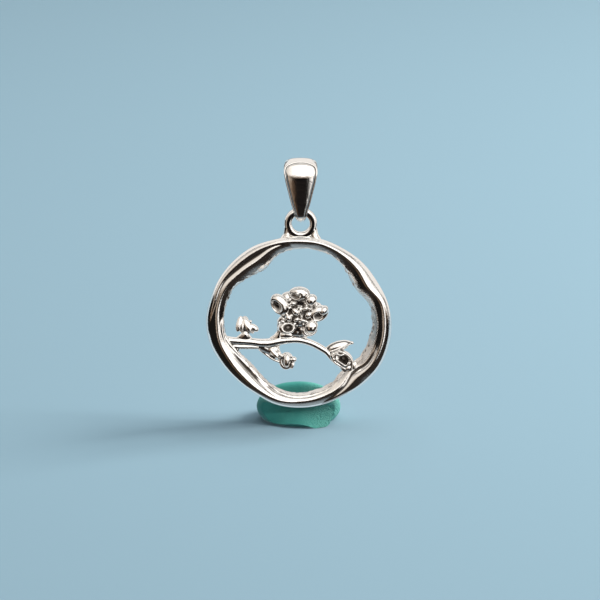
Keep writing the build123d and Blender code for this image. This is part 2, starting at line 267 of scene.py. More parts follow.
hoop_points = np.stack(
    [radius * np.cos(turn), BACK_Y - depth, HOOP_Z + radius * np.sin(turn)], axis=-1
)
hoop_band = make_piece("hoop_band", hoop_points, grid_faces(*depth.shape)[:, ::-1])
skin_on_right = bell(turned_from(SKIN_AT), SKIN_REACH) * bell(radius - edge, SKIN_WIDE, power=4)
skin_most = (1 - SKIN_LEAST) * bell(turned_from(SKIN_MOST_AT), SKIN_MOST_REACH)
skin_on_edge = EDGE_SKIN * rough * bell(radius - edge, EDGE_SKIN_WIDE, power=4)
skin = np.maximum(skin_on_right * (SKIN_LEAST + skin_most), skin_on_edge)
cast_skin = hoop_band.data.attributes.new("cast_skin", "FLOAT", "POINT")
cast_skin.data.foreach_set("value", np.ravel(skin).astype(np.float32))


def mark_recesses(piece, passes):
    """Stores on each point how many millimetres it lies under its own neighbourhood: the points
    are averaged with their neighbours over and over, and the way back is measured along the
    point's normal. The silver is painted dark there: partly tarnish that polishing does not reach,
    partly painted shade."""
    mesh = piece.data
    count = len(mesh.vertices)
    points, normals = np.empty(count * 3), np.empty(count * 3)
    mesh.vertices.foreach_get("co", points)
    mesh.vertex_normals.foreach_get("vector", normals)
    points, normals = points.reshape(-1, 3) / mm, normals.reshape(-1, 3)
    ends = np.empty(len(mesh.edges) * 2, dtype=np.int32)
    mesh.edges.foreach_get("vertices", ends)
    here, there = ends.reshape(-1, 2).T
    both_ways = np.concatenate([here, there]), np.concatenate([there, here])
    links = np.bincount(both_ways[0], minlength=count)[:, None]
    average = points
    for _ in range(passes):
        total = [np.bincount(both_ways[0], average[both_ways[1], axis], count) for axis in range(3)]
        average = (average + np.stack(total, axis=-1) / links) / 2
    under = ((average - points) * normals).sum(axis=1)
    mark = mesh.attributes.new("recess", "FLOAT", "POINT")
    mark.data.foreach_set("value", under.astype(np.float32))


SILVER = (0.93, 0.915, 0.895, 1)
# Tarnish and painted shade, mixed in where the silver lies in a recess.
TARNISH_AND_PAINTED_SHADE = (0.085, 0.072, 0.062, 1)
SKIN_TINT = (0.40, 0.34, 0.29, 1)
POLISH = 0.07
RUBBED = 0.09
TARNISH_DULLS = 0.30
SKIN_DULLS = 0.34
RUBS_PER_METRE = 1100
RUBS_FROM = 0.35
RUBS_TO = 0.75
PITS_PER_METRE = 5200
PIT_DEPTH = 0.04 * mm
PITS = 0.28
PITS_ON_SKIN = 0.70


def fill(tree, node, inputs):
    """Gives each input of a node its value, or links it to another node's output."""
    for socket, value in inputs.items():
        if isinstance(value, bpy.types.NodeSocket):
            tree.links.new(value, node.inputs[socket])
        else:
            node.inputs[socket].default_value = value


def add_node(tree, kind, inputs, **settings):
    """Adds a node with its settings, fills its inputs, and gives its outputs."""
    node = tree.nodes.new(kind)
    for name, value in settings.items():
        setattr(node, name, value)
    fill(tree, node, inputs)
    return node.outputs


def new_material(name):
    """A material with nodes, their tree, and the surface's own coordinates."""
    material = bpy.data.materials.new(name)
    material.use_nodes = True
    tree = material.node_tree
    return material, tree, add_node(tree, "ShaderNodeTexCoord", {})["Object"]


def noise(tree, place, scale, detail):
    """Fine noise, with a number of waves to the metre."""
    inputs = {"Vector": place, "Scale": scale, "Detail": detail}
    return add_node(tree, "ShaderNodeTexNoise", inputs)["Fac"]


def map_range(tree, value, low, high, to_low=0.0, to_high=1.0, interpolation="LINEAR"):
    """Carries the values from low to high over to another range."""
    inputs = {"Value": value, "From Min": low, "From Max": high, "To Min": to_low, "To Max": to_high}
    return add_node(tree, "ShaderNodeMapRange", inputs, interpolation_type=interpolation)["Result"]


def mix(tree, share, below, above, blend_type="MIX"):
    """One colour over another."""
    inputs = {"Factor": share, "A": below, "B": above}
    return add_node(tree, "ShaderNodeMix", inputs, data_type="RGBA", blend_type=blend_type)["Result"]


def times_plus(tree, value, factor, more):
    """A value times a factor, plus some more."""
    inputs = {0: value, 1: factor, 2: more}
    return add_node(tree, "ShaderNodeMath", inputs, operation="MULTIPLY_ADD")["Value"]


def polished_silver(name, dark_from, dark_to):
    """Polished sterling silver. In the recesses it turns dark and dull between two depths in
    millimetres; the dark there is partly tarnish and partly painted shade. Where the skin from
    the mould is left it is tinted, matt and coarse. The polish wavers with rub marks, and has
    faint pits."""
    material, tree, place = new_material(name)
    under = add_node(tree, "ShaderNodeAttribute", {}, attribute_name="recess")["Fac"]
    skin = add_node(tree, "ShaderNodeAttribute", {}, attribute_name="cast_skin")["Fac"]
    dark = map_range(tree, under, dark_from, dark_to, interpolation="SMOOTHSTEP")
    # The recesses are painted dark: partly tarnish, partly painted shade.
    colour = mix(tree, dark, SILVER, TARNISH_AND_PAINTED_SHADE)
    rubs = noise(tree, place, RUBS_PER_METRE, detail=4)
    dull = map_range(tree, rubs, RUBS_FROM, RUBS_TO, POLISH, POLISH + RUBBED)
    dull = times_plus(tree, dark, TARNISH_DULLS, dull)
    pits = {
        "Height": noise(tree, place, PITS_PER_METRE, detail=3),
        "Strength": times_plus(tree, skin, PITS_ON_SKIN, PITS),
        "Distance": PIT_DEPTH,
    }
    surface = {
        "Metallic": 1,
        "Base Color": mix(tree, skin, colour, SKIN_TINT, "MULTIPLY"),
        "Roughness": times_plus(tree, skin, SKIN_DULLS, dull),
        "Normal": add_node(tree, "ShaderNodeBump", pits)["Normal"],
    }
    fill(tree, tree.nodes["Principled BSDF"], surface)
    return material


mark_recesses(hoop_band, passes=60)
hoop_band.data.materials.append(polished_silver("hoop_silver", dark_from=0.012, dark_to=0.050))
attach(hoop_band, "pendant")
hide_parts("blossom_hoop")

# The branch with its blossom, buds, twig and leaf is cast in one with the hoop. It is modelled
# as eggs with thumbprints, beads and tapered rods, run together as wax is by the modeller.
VOXEL = 0.045
SOFTENING = 4
BRANCH_ROUTE = (
    # across, up, forward, half thickness
    (-9.56, -1.82, 0.05, 0.42),
    (-8.71, -2.13, 0.12, 0.44),
    (-7.62, -2.29, 0.16, 0.45),
    (-6.53, -2.34, 0.17, 0.46),
    (-5.57, -2.43, 0.16, 0.48),
    (-4.60, -2.56, 0.13, 0.52),
    (-3.51, -2.54, 0.10, 0.55),
    (-2.30, -2.29, 0.10, 0.52),
    (-1.09, -2.18, 0.10, 0.45),
    (0.12, -2.21, 0.10, 0.43),
    (1.33, -2.54, 0.10, 0.42),
    (2.54, -3.15, 0.10, 0.41),
    (3.45, -3.81, 0.10, 0.36),
    (4.04, -4.65, 0.06, 0.28),
    (4.91, -5.44, 0.04, 0.26),
    (5.69, -6.11, 0.02, 0.28),
    (6.47, -6.64, 0.02, 0.34),
)
# Each egg has its middle, the tilt of its long axis, the way it faces and its three half axes.
# Where a thumb was pressed in, the print's place on it, its size and its depth follow.
PETALS = (
    # across, up, forward, tilt, face_x, face_z, length, breadth, thick, right, above, size, deep
    (-2.30, 2.46, 0.72, 122, -0.15, -0.05, 1.48, 1.08, 0.76, -0.40, -0.16, 0.52, 0.80),  # left petal
    (-1.45, 3.10, 0.25, 40, 0.00, 0.00, 1.00, 0.80, 0.60),  # web between petals
    (2.01, 1.95, 0.30, 30, 0.00, 0.00, 0.80, 0.62, 0.60),  # web on the right
    (0.04, 3.86, 0.66, 0, 0.05, 0.10, 1.30, 0.86, 0.72, -0.52, -0.24, 0.46, 0.60),  # top petal
    (0.53, 3.97, 0.95, 30, 0.10, 0.20, 0.50, 0.36, 0.34),  # its curl
    (1.50, 3.17, 0.98, 40, 0.10, 0.30, 0.74, 0.68, 0.60),  # upper right petal
    (1.40, 2.46, 0.46, 0, 0.20, -0.10, 0.84, 0.70, 0.66, 0.02, 0.14, 0.60, 0.50),  # its cup
    (2.42, 1.35, 0.66, 22, 0.15, -0.05, 1.24, 1.02, 0.72, -0.16, -0.24, 0.46, 0.58),  # right petal
    (2.98, 1.79, 0.84, 50, 0.20, 0.20, 0.66, 0.50, 0.56),  # its bright fold
    (1.50, -0.19, 0.92, 60, 0.10, 0.25, 0.86, 0.78, 0.62),  # lower right petal
    (1.26, -0.86, 0.45, 10, 0.10, -0.10, 1.00, 0.74, 0.70, 0.05, 0.10, 0.60, 0.50),  # its cup
    (-1.50, -0.46, 0.70, 2, -0.05, 0.10, 1.08, 0.82, 0.72, 0.20, 0.06, 0.50, 0.80),  # lower left cup
    (-1.57, -1.50, 0.10, 0, 0.00, 0.00, 1.10, 0.50, 0.45),  # under the cup
    (-0.73, 2.71, 0.96, 10, 0.00, 0.10, 0.40, 0.30, 0.36),  # stamen
    (-0.41, 1.67, 0.96, 130, 0.00, 0.10, 0.56, 0.40, 0.40),  # stamen
    (1.14, 1.24, 0.92, 60, 0.00, 0.10, 0.50, 0.38, 0.42),  # stamen
    (0.80, 2.05, 0.86, 30, 0.00, 0.00, 0.42, 0.26, 0.36),  # stamen
    (0.48, 0.52, 0.84, -15, 0.00, 0.10, 0.54, 0.24, 0.34),  # stamen
    (-0.27, 0.66, 0.88, 25, 0.00, 0.10, 0.38, 0.28, 0.34),  # stamen
    (-1.28, 2.07, 0.84, 20, 0.00, 0.10, 0.46, 0.22, 0.34),  # stamen
    (0.17, 1.73, 0.72, 80, 0.00, 0.00, 0.60, 0.22, 0.40),  # stamen
    (-2.01, 0.31, 0.40, 80, -0.20, 0.00, 0.62, 0.56, 0.66, 0.00, 0.05, 0.62, 0.30),  # small cup
    (-1.27, 0.89, 0.95, 120, 0.00, 0.10, 0.50, 0.42, 0.46),  # hump
    (-0.02, 1.61, 0.10, 0, 0.00, 0.00, 2.35, 2.25, 0.98, 0.00, 0.00, 0.60, 0.22),  # hub
    (0.06, -0.70, -0.02, 0, 0.00, 0.00, 1.75, 1.25, 0.66),  # hub foot
)
LOBES = (
    # across, up, forward, tilt, face_x, face_z, length, breadth, thick, right, above, size, deep
    (-7.26, -0.08, 0.34, 78, -0.10, 0.26, 1.00, 0.38, 0.28),  # bud blade
    (-6.72, -0.14, 0.04, 75, 0.00, 0.10, 0.96, 0.60, 0.34),  # bud cup
    (-6.82, -0.24, 0.42, 88, -0.10, 0.30, 0.82, 0.16, 0.24),  # bud fan, left rib
    (-6.25, -0.22, 0.44, 116, 0.10, 0.30, 0.92, 0.48, 0.28),  # bud fan
    (-6.44, -0.67, 0.10, -8, 0.00, -0.10, 1.14, 0.74, 0.44),  # bud core
    (-5.45, -0.57, 0.34, -38, 0.25, 0.30, 0.66, 0.40, 0.34),  # bud side leaf
    (-5.86, -1.01, 0.30, -34, 0.00, -0.30, 0.50, 0.20, 0.30),  # bud heel
    (-6.53, -1.29, 0.12, 90, 0.00, 0.10, 0.52, 0.50, 0.44),  # bud neck
    (-7.67, -3.19, 0.20, -40, 0.00, 0.20, 0.52, 0.28, 0.36),  # knob under the branch
    (-3.15, -3.58, 0.34, -54, 0.05, 0.34, 0.98, 0.34, 0.22),  # twig facet
    (-3.75, -3.80, 0.00, -44, 0.00, -0.50, 1.50, 0.62, 0.26),  # twig web
    (-2.40, -4.01, 0.18, -75, 0.10, 0.00, 0.52, 0.30, 0.40),  # twig shoulder
    (-1.54, -4.88, 0.05, 84, 0.00, 0.00, 1.12, 0.90, 0.62, 0.05, 0.00, 0.74, 0.40),  # twig bud shell
    (-1.46, -4.72, 0.42, 86, -0.10, 0.05, 0.88, 0.46, 0.52),  # twig bud egg
    (-0.81, -5.31, 0.30, 72, 0.30, 0.00, 0.55, 0.22, 0.42),  # twig bud petal
    (4.94, -2.96, 0.12, 18, 0.00, 0.17, 1.46, 0.50, 0.20),  # leaf
    (5.08, -3.37, -0.05, 16, 0.00, 0.20, 0.90, 0.22, 0.30),  # second leaf
    (5.45, -4.71, 0.12, -50, 0.05, 0.00, 1.32, 1.06, 0.70, -0.02, 0.10, 0.44, 1.15),  # half open bud
    (4.33, -4.28, 0.30, 112, -0.10, 0.10, 0.70, 0.44, 0.44, 0.00, 0.05, 0.42, 0.18),  # its left petal
    (6.76, -5.35, 0.25, 78, 0.10, 0.20, 0.62, 0.28, 0.38),  # bridge
    (6.36, -5.77, 0.15, 60, 0.00, 0.10, 0.60, 0.40, 0.42),  # bridge
    (6.02, -5.66, 0.34, 40, 0.00, 0.20, 0.50, 0.36, 0.36),  # bridge
)
STAMENS = (
    # across, up, forward, radius
    (-0.19, 3.96, 1.22, 0.24),
    (1.26, 2.01, 1.00, 0.20),
    (0.87, 0.41, 0.98, 0.21),
    (0.12, 0.34, 0.92, 0.18),
    (-1.02, 2.56, 0.96, 0.18),
    (-0.05, 2.16, 0.98, 0.17),
    (0.31, 1.04, 0.96, 0.19),
    (-0.90, 1.19, 1.02, 0.20),
    (-0.22, -0.23, 0.62, 0.13),
    (0.31, -0.74, 0.60, 0.14),
    (-0.17, -1.09, 0.54, 0.12),
    (0.63, -0.46, 0.60, 0.13),
    (0.53, -0.06, 0.66, 0.16),
    (-0.53, 0.02, 0.70, 0.17),
    (0.46, -1.17, 0.52, 0.13),
    (-1.96, 0.40, 1.02, 0.27),
)
BEADS = (
    # across, up, forward, radius
    (-5.88, 0.22, 0.36, 0.20),
    (-0.63, -4.55, 0.48, 0.36),
    (6.46, -2.55, 0.18, 0.20),
)
RODS = (
    # across, up, forward, half width, half depth, from point to point
    (  # lower strand of the branch
        (-8.41, -2.86, 0.05, 0.30, 0.46),
        (-7.50, -2.96, 0.08, 0.36, 0.50),
        (-5.93, -3.00, 0.08, 0.36, 0.50),
        (-4.48, -3.04, 0.05, 0.32, 0.46),
        (-3.27, -2.92, 0.00, 0.26, 0.40),
    ),
    (  # strand into the joint
        (-9.39, 0.03, 0.30, 0.26, 0.40),
        (-9.24, -1.09, 0.36, 0.27, 0.40),
        (-8.77, -2.15, 0.38, 0.27, 0.40),
        (-8.05, -3.11, 0.30, 0.24, 0.38),
        (-6.90, -4.49, 0.10, 0.20, 0.32),
        (-5.93, -5.67, -0.12, 0.16, 0.28),
    ),
    (  # twig
        (-3.75, -2.71, 0.05, 0.95, 0.42),
        (-3.33, -3.34, 0.05, 0.78, 0.40),
        (-2.78, -3.97, 0.05, 0.44, 0.36),
        (-2.06, -4.73, 0.05, 0.24, 0.28),
    ),
    (  # twig lower fold
        (-5.08, -3.10, 0.00, 0.22, 0.30),
        (-4.23, -3.83, 0.02, 0.19, 0.28),
        (-3.15, -4.66, 0.04, 0.17, 0.26),
        (-2.18, -5.06, 0.06, 0.16, 0.24),
    ),
    (  # twig side
        (-2.73, -2.75, -0.10, 0.34, 0.32),
        (-2.52, -3.64, -0.10, 0.24, 0.30),
        (-2.23, -4.71, -0.10, 0.18, 0.26),
    ),
    (  # bud foot
        (-6.49, -0.95, 0.20, 0.34, 0.40),
        (-6.53, -1.39, 0.22, 0.54, 0.44),
        (-6.58, -1.84, 0.14, 0.92, 0.42),
        (-6.62, -2.26, 0.00, 1.25, 0.38),
        (-6.62, -3.26, -0.20, 1.10, 0.20),
    ),
    (  # nub stalk
        (-6.07, -0.10, 0.30, 0.14, 0.20),
        (-5.89, 0.19, 0.33, 0.12, 0.16),
    ),
    (  # sepal
        (-2.40, 0.49, 0.15, 0.26, 0.35),
        (-2.44, -0.41, 0.10, 0.26, 0.35),
        (-2.35, -1.17, 0.10, 0.40, 0.35),
        (-2.54, -1.81, 0.08, 0.62, 0.38),
        (-2.71, -2.28, 0.04, 0.95, 0.34),
        (-2.73, -3.13, -0.10, 0.85, 0.20),
    ),
    (  # blossom foot
        (0.06, -2.14, 0.05, 1.75, 0.45),
        (0.06, -1.17, 0.10, 1.35, 0.60),
    ),
    (  # leaf upper rim
        (3.22, -3.39, 0.12, 0.16, 0.18),
        (3.93, -2.74, 0.20, 0.12, 0.15),
        (5.02, -2.31, 0.24, 0.11, 0.15),
        (5.93, -2.31, 0.22, 0.11, 0.15),
        (6.44, -2.53, 0.16, 0.12, 0.15),
    ),
    (  # leaf lower rim
        (3.69, -3.70, 0.18, 0.15, 0.18),
        (4.54, -3.40, 0.26, 0.12, 0.15),
        (5.45, -3.02, 0.26, 0.11, 0.15),
        (6.32, -2.65, 0.18, 0.12, 0.15),
    ),
    (  # bud, right fold
        (4.11, -3.85, 0.30, 0.14, 0.20),
        (4.96, -3.55, 0.44, 0.14, 0.22),
        (5.88, -3.96, 0.50, 0.15, 0.24),
        (6.44, -4.73, 0.48, 0.15, 0.24),
        (6.39, -5.51, 0.40, 0.15, 0.24),
        (5.93, -6.21, 0.20, 0.16, 0.26),
    ),
    (  # bud, left fold
        (3.82, -3.97, 0.30, 0.14, 0.20),
        (4.21, -4.74, 0.44, 0.15, 0.24),
        (5.01, -5.36, 0.48, 0.15, 0.24),
        (5.81, -5.93, 0.36, 0.15, 0.24),
    ),
    (  # bud, inner fold
        (4.40, -4.38, 0.62, 0.12, 0.18),
        (5.06, -4.93, 0.66, 0.12, 0.18),
        (5.76, -5.29, 0.62, 0.12, 0.18),
        (6.03, -4.87, 0.60, 0.11, 0.18),
    ),
    (  # bud, top curl
        (4.19, -4.30, 0.56, 0.11, 0.18),
        (4.53, -3.82, 0.64, 0.11, 0.18),
        (5.11, -3.97, 0.64, 0.12, 0.18),
        (5.59, -3.80, 0.54, 0.11, 0.18),
    ),
)

# An egg that no thumb was pressed into.
NO_PRINT = (0, 0, 1, 0)
# A print is flat-floored and fades out where the egg turns away, the sooner the higher this is.
PRINT_FADE = 2.5


def unit(vectors):
    """The vectors divided by their lengths."""
    return vectors / np.linalg.norm(vectors, axis=-1, keepdims=True)


def lobe(row, rings=40, around=56):
    """An egg by latitude and longitude on three half axes. The thumbprint is a flat-floored
    bell, e to the minus fourth power of the distance, pressed in along the facing axis."""
    x, up, forward, tilt, face_x, face_z, length, breadth, thick, *thumbprint = row
    right, above, size, deep = thumbprint or NO_PRINT
    face = unit(np.array([face_x, -1.0, face_z]))
    long_way = np.array([np.cos(np.radians(tilt)), 0, np.sin(np.radians(tilt))])
    long_way = unit(long_way - face * (long_way @ face))
    short_way = np.cross(face, long_way)
    latitude = np.linspace(0, np.pi, rings)[:, None]
    longitude = (np.arange(around) * 2 * np.pi / around)[None, :]
    along = length * np.sin(latitude) * np.cos(longitude)
    aside = breadth * np.sin(latitude) * np.sin(longitude)
    out = thick * np.cos(latitude) + 0 * longitude
    print_at = np.array([right, 0, above])
    far = ((along - print_at @ long_way) / (size * length)) ** 2
    far = far + ((aside - print_at @ short_way) / (size * breadth)) ** 2
    out = out - deep * np.exp(-(far**2)) * np.clip(out / thick * PRINT_FADE, 0, 1)
    centre = np.array([x, -forward, up + HOOP_Z])
    points = centre + along[..., None] * long_way + aside[..., None] * short_way
    return points + out[..., None] * face, grid_faces(rings, around, close_rows=False)


def ball(row):
    """A small round egg from its middle and its radius."""
    x, up, forward, radius = row
    return lobe((x, up, forward, 0, 0, 0, radius, radius, radius), rings=20, around=28)


def carry_round(path, normals, half_widths, half_depths, around, power=1.0):
    """Carries an ellipse along a path in the plane of the hoop. Its two half axes lie along the
    path's normal in that plane and along Y. A power under 1 of its sine and cosine flattens the
    sides."""
    turns = (np.arange(around) * 2 * np.pi / around)[None, :, None]
    cosine, sine = (np.sign(wave) * np.abs(wave) ** power for wave in (np.cos(turns), np.sin(turns)))
    sideways = normals[:, None, :] * half_widths[:, None, None] * cosine
    deep = np.array([0.0, 1.0, 0.0]) * half_depths[:, None, None] * sine
    return path[:, None, :] + sideways + deep


def path_normals(path):
    """Unit vectors square to the path in the plane of the hoop."""
    along = np.gradient(path, axis=0)
    return unit(np.stack([-along[:, 2], 0 * along[:, 0], along[:, 0]], axis=-1))


def tapered(route, steps=120, around=36):
    """A rod along a smooth line through the route's points: between two points it follows the
    cubic with the slopes of the route there. Its ends are closed round."""
    rows = np.array(route, dtype=float)
    if rows.shape[1] == 4:
        rows = np.hstack([rows, rows[:, 3:4]])
    gaps = np.linalg.norm(np.diff(rows[:, :3], axis=0), axis=1)
    knots = np.concatenate([[0], np.cumsum(gaps)])
    slopes = np.gradient(rows, knots, axis=0)
    places = np.linspace(0, knots[-1], steps)
    piece = np.clip(np.searchsorted(knots, places, side="right") - 1, 0, len(knots) - 2)
    step = (knots[piece + 1] - knots[piece])[:, None]
    t = (places - knots[piece])[:, None] / step
    start, end = rows[piece], rows[piece + 1]
    line = (
        start * (1 - 3 * t**2 + 2 * t**3)
        + end * (3 * t**2 - 2 * t**3)
        + step * slopes[piece] * (t - 2 * t**2 + t**3)
        + step * slopes[piece + 1] * (t**3 - t**2)
    )
    path = np.stack([line[:, 0], -line[:, 2], HOOP_Z + line[:, 1]], axis=-1)
    from_end = np.minimum(places, knots[-1] - places) / np.maximum(line[:, 3], 1e-6)
    closing = np.sqrt(np.clip(1 - (1 - np.clip(from_end, 0, 1)) ** 2, 0, 1))
    points = carry_round(path, path_normals(path), line[:, 3] * closing, line[:, 4] * closing, around)
    return points, grid_faces(steps, around, close_rows=False)[:, ::-1]


def run_together(name, parts):
    """Joins closed surfaces into one skin by remeshing on a grid of cubes, and softens it."""
    points = np.concatenate([part.reshape(-1, 3) for part, _ in parts])
    starts = np.cumsum([0] + [part.shape[0] * part.shape[1] for part, _ in parts[:-1]])
    faces = np.concatenate([quads + start for (_, quads), start in zip(parts, starts)])
    mesh = bpy.data.meshes.new(name + "_wax")
    mesh.from_pydata(points.tolist(), [], faces.tolist())
    wax = bpy.data.objects.new(name + "_wax", mesh)
    bpy.context.scene.collection.objects.link(wax)
    remesh = wax.modifiers.new("skin", "REMESH")
    remesh.mode = "VOXEL"
    remesh.voxel_size = VOXEL
    smooth = wax.modifiers.new("soften", "SMOOTH")
    smooth.factor = 0.5
    smooth.iterations = SOFTENING
    shape = wax.evaluated_get(bpy.context.evaluated_depsgraph_get()).to_mesh()
    skin_points = np.empty(len(shape.vertices) * 3)
    shape.vertices.foreach_get("co", skin_points)
    quads = np.empty(len(shape.polygons) * 4, dtype=int)
    shape.polygons.foreach_get("vertices", quads)
    bpy.data.objects.remove(wax)
    bpy.data.meshes.remove(mesh)
    return make_piece(name, skin_points.reshape(-1, 3), quads.reshape(-1, 4))


wood = [lobe(row) for row in LOBES] + [ball(row) for row in BEADS]
wood += [tapered(route) for route in (BRANCH_ROUTE, *RODS)]
flower = [lobe(row) for row in PETALS] + [ball(row) for row in STAMENS]
branch_silver = polished_silver("branch_silver", dark_from=0.006, dark_to=0.075)
for name, casting in (("branch", wood), ("blossom", flower)):
    sprig = run_together(name, casting)
    mark_recesses(sprig, passes=90)
    sprig.data.materials.append(branch_silver)
    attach(sprig, "pendant")
    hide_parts("blossom_hoop")

# The eye is a wire ring soldered upright on the hoop's top, with its sides flared down into
# feet over a flat bed of solder. The bail swings on it.
EYE_ACROSS = 0.2
EYE_RADIUS = 1.52
EYE_WIRE = 0.46
EYE_SQUARE = 0.62
EYE_STEPS = 120
WIRE_STEPS = 48
OUTER_AT_TOP = 0.977
EYE_ABOVE_HOOP = 1.62
EYE_UP = OUTER_AT_TOP * HOOP_RADIUS + EYE_ABOVE_HOOP
EYE_Z = HOOP_Z + EYE_UP
SOLDER_DOWN = 2.02
SOLDER_BED = (EYE_ACROSS, EYE_UP - SOLDER_DOWN, 0.0, 0, 0, 0, 1.90, 0.66, 0.52)
EYE_FEET = (
    # out from the eye's middle, up from it, forward, half width, half depth
    (1.56, 0.30, 0.0, 0.42, 0.42),
    (1.58, -0.40, 0.0, 0.42, 0.42),
    (1.60, -1.00, 0.0, 0.46, 0.46),
    (1.64, -1.50, 0.0, 0.54, 0.54),
    (1.72, -1.95, 0.0, 0.72, 0.60),
    (1.80, -2.60, 0.0, 0.90, 0.66),
)
ring_turn = np.linspace(0, 2 * np.pi, EYE_STEPS, endpoint=False)
outwards = np.stack([np.cos(ring_turn), 0 * ring_turn, np.sin(ring_turn)], axis=-1)
ring_path = np.array([EYE_ACROSS, 0, EYE_Z]) + EYE_RADIUS * outwards
wire_half = np.full(len(ring_turn), EYE_WIRE)
ring_points = carry_round(ring_path, outwards, wire_half, wire_half, WIRE_STEPS, EYE_SQUARE)
eye_parts = [(ring_points, grid_faces(*ring_points.shape[:2])), lobe(SOLDER_BED)]
for side in (-1, 1):
    foot = [(EYE_ACROSS + side * x, EYE_UP + up, *rest) for x, up, *rest in EYE_FEET]
    eye_parts.append(tapered(foot))
eye_ring = run_together("eye_ring", eye_parts)
mark_recesses(eye_ring, passes=40)
eye_ring.data.materials.append(polished_silver("eye_silver", dark_from=0.010, dark_to=0.050))
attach(eye_ring, "pendant")
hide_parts("blossom_hoop")

# The bail is a band of silver sheet folded into a drop-shaped loop and closed round the eye. Its
# faces are crowned and its edges rounded, and a chain passes through its upper part.
BAIL_WIDTH = 4.1
BAIL_HEIGHT = 8.1
BAIL_WALL = 0.55
BAIL_BEND = 1.47
BAIL_CROWN_DEEP = 1.8
BAIL_CROWN_TALL = 2.3
BAIL_CROWNING = 0.235
PIVOT_ABOVE_EYE = 1.56
PIVOT_Z = EYE_Z + PIVOT_ABOVE_EYE
BAIL_FOOT = PIVOT_Z - BAIL_BEND
CROWN_Z = BAIL_FOOT + BAIL_HEIGHT - BAIL_CROWN_TALL
LOOP_STEPS = 420
FINE_STEPS = 6001
SECTION_STEPS = 140
# Powers under 1 of cosine and sine square the band's section, across and through its wall.
SQUARE_ACROSS = 0.55
SQUARE_THROUGH = 0.50
# The outer face is a raised panel. It stops short of the band's edges by a bevel, and at a line
# over the crown that arches down to the sides. A gutter runs round it.
BEVEL = 0.27
PANEL_UP = 0.09
GUTTER_DEEP = 0.11
GUTTER_HALF = 0.095
GUTTER_OUT = 0.03
PANEL_TOP = 50
PANEL_ARCH = 17
PANEL_TOP_HALF = 1.75
CROWN_PER_DEGREE = 0.036
PANEL_RAMP = 0.10
PANEL_CORNER = 9
# In front, TIP_UP over the foot, the band is pressed a little flatter.
TIP_UP = 0.52
TIP_REACH = 0.42
TIP_FLAT = 0.16
DENTS_UP = 0.0045
OUTLINE_STEPS = 400
OUTLINE_SOFT = 14
BAIL_OUTLINE = (
    # up as a share of BAIL_HEIGHT, half width as a share of BAIL_WIDTH
    (0.00, 0.100),
    (0.06, 0.150),
    (0.18, 0.195),
    (0.34, 0.295),
    (0.50, 0.370),
    (0.66, 0.450),
    (0.83, 0.500),
    (0.94, 0.470),
    (0.98, 0.420),
    (1.00, 0.360),
)


def loop(inset, count):
    """The drop-shaped loop in side view: a tight round bend under a taller oval crown, with their
    tangents. At each turn of the outward normal the outline lies on the one that reaches
    further out that way. Gives Y, Z and the normal at evenly spaced places."""
    turns = np.linspace(0, 2 * np.pi, FINE_STEPS)
    cosine, sine = np.cos(turns), np.sin(turns)
    crown_reach = np.sqrt((BAIL_CROWN_DEEP * cosine) ** 2 + (BAIL_CROWN_TALL * sine) ** 2)
    on_crown = crown_reach + CROWN_Z * sine > BAIL_BEND + PIVOT_Z * sine
    y = np.where(on_crown, BAIL_CROWN_DEEP**2 * cosine / crown_reach, BAIL_BEND * cosine)
    crown_z = CROWN_Z + BAIL_CROWN_TALL**2 * sine / crown_reach
    z = np.where(on_crown, crown_z, PIVOT_Z + BAIL_BEND * sine)
    y, z = y - inset * cosine, z - inset * sine
    run = np.concatenate([[0], np.cumsum(np.hypot(np.diff(y), np.diff(z)))])
    places = np.linspace(0, run[-1], count, endpoint=False)
    y, z, cosine, sine = (np.interp(places, run, values) for values in (y, z, cosine, sine))
    length = np.hypot(cosine, sine)
    return y, z, cosine / length, sine / length


def softened(values, reach):
    """Evenly spaced values, each averaged with its neighbours under a bell."""
    window = 40
    weights = bell(np.arange(-window, window + 1), reach)
    padded = np.pad(values, window, mode="reflect", reflect_type="odd")
    return np.convolve(padded, weights / weights.sum(), mode="valid")


loop_y, loop_z, normal_y, normal_z = (values[:, None] for values in loop(BAIL_WALL / 2, LOOP_STEPS))
shares = np.linspace(0, 1, OUTLINE_STEPS)
half_shares = softened(np.interp(shares, *np.array(BAIL_OUTLINE).T), OUTLINE_SOFT)
height_share = (loop_z + BAIL_WALL / 2 * normal_z - BAIL_FOOT) / BAIL_HEIGHT
half_width = np.interp(height_share, shares, half_shares) * BAIL_WIDTH
section_turn = (np.arange(SECTION_STEPS) * 2 * np.pi / SECTION_STEPS)[None, :]
cosine, sine = np.cos(section_turn), np.sin(section_turn)
outer_face = sine > 0
bail_x = half_width * np.sign(cosine) * np.abs(cosine) ** SQUARE_ACROSS
bail_out = BAIL_WALL / 2 * np.sign(sine) * np.abs(sine) ** SQUARE_THROUGH
bail_out = bail_out - BAIL_CROWNING * (bail_x / (BAIL_WIDTH / 2)) ** 2
turn_up = np.degrees(np.arctan2(normal_z, -normal_y))
panel_top = PANEL_TOP - PANEL_ARCH * (bail_x / PANEL_TOP_HALF) ** 2
from_crown = (panel_top - turn_up) * CROWN_PER_DEGREE
from_side = half_width - np.abs(bail_x) - BEVEL
inside = -np.logaddexp(-PANEL_CORNER * from_side, -PANEL_CORNER * from_crown) / PANEL_CORNER
ramp = np.clip(inside / PANEL_RAMP + 0.5, 0, 1)
panel = ramp**2 * (3 - 2 * ramp)
tip = bell(loop_z - BAIL_FOOT - TIP_UP, TIP_REACH) * (normal_y < 0)
sunk = PANEL_UP * (1 - panel) + GUTTER_DEEP * bell(inside + GUTTER_OUT, GUTTER_HALF) + TIP_FLAT * tip
dents = rolling_noise(*bail_x.shape, 2.6, 2.2, seed=17)
bail_out = bail_out - sunk * outer_face + DENTS_UP * dents
